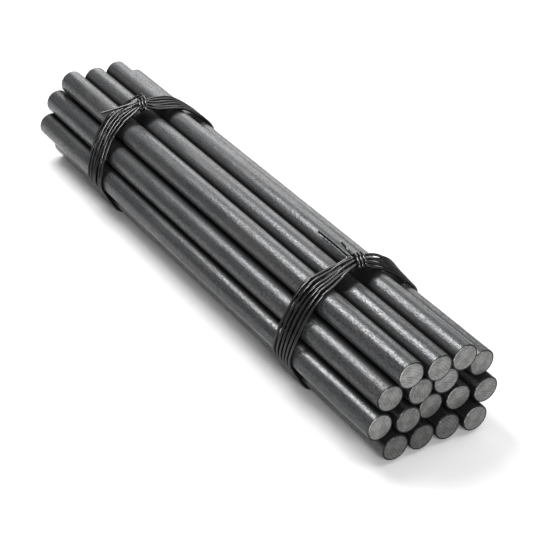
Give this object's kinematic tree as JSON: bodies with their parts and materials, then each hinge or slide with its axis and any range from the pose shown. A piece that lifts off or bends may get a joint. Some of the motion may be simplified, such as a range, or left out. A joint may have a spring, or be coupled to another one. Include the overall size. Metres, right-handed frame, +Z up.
{
  "type": "rebar bundle",
  "caption": "Bundle of plain round steel reinforcing bars stacked in rows and held near each end by a knotted band of annealed tie wire.",
  "frame": {"origin": "centre of the bundle's footprint on the floor", "axes": "+X along the bars towards their near ends, +Y across the rows, +Z up"},
  "size_m": [0.4664, 0.1024, 0.0862],
  "materials": {
    "bar_steel": "dark mill scale with a satin sheen along the bar, and pale sawn ends",
    "tie_wire": "black annealed wire with a light oil sheen"
  },
  "bodies": {
    "root": {"bar_01": "bar_steel", "bar_02": "bar_steel", "bar_03": "bar_steel", "bar_04": "bar_steel", "bar_05": "bar_steel", "bar_06": "bar_steel", "bar_07": "bar_steel", "bar_08": "bar_steel", "bar_09": "bar_steel", "bar_10": "bar_steel", "bar_11": "bar_steel", "bar_12": "bar_steel", "bar_13": "bar_steel", "bar_14": "bar_steel", "bar_15": "bar_steel", "bar_16": "bar_steel", "front_tie_wire": "tie_wire", "rear_tie_wire": "tie_wire"}
  },
  "joints": []
}
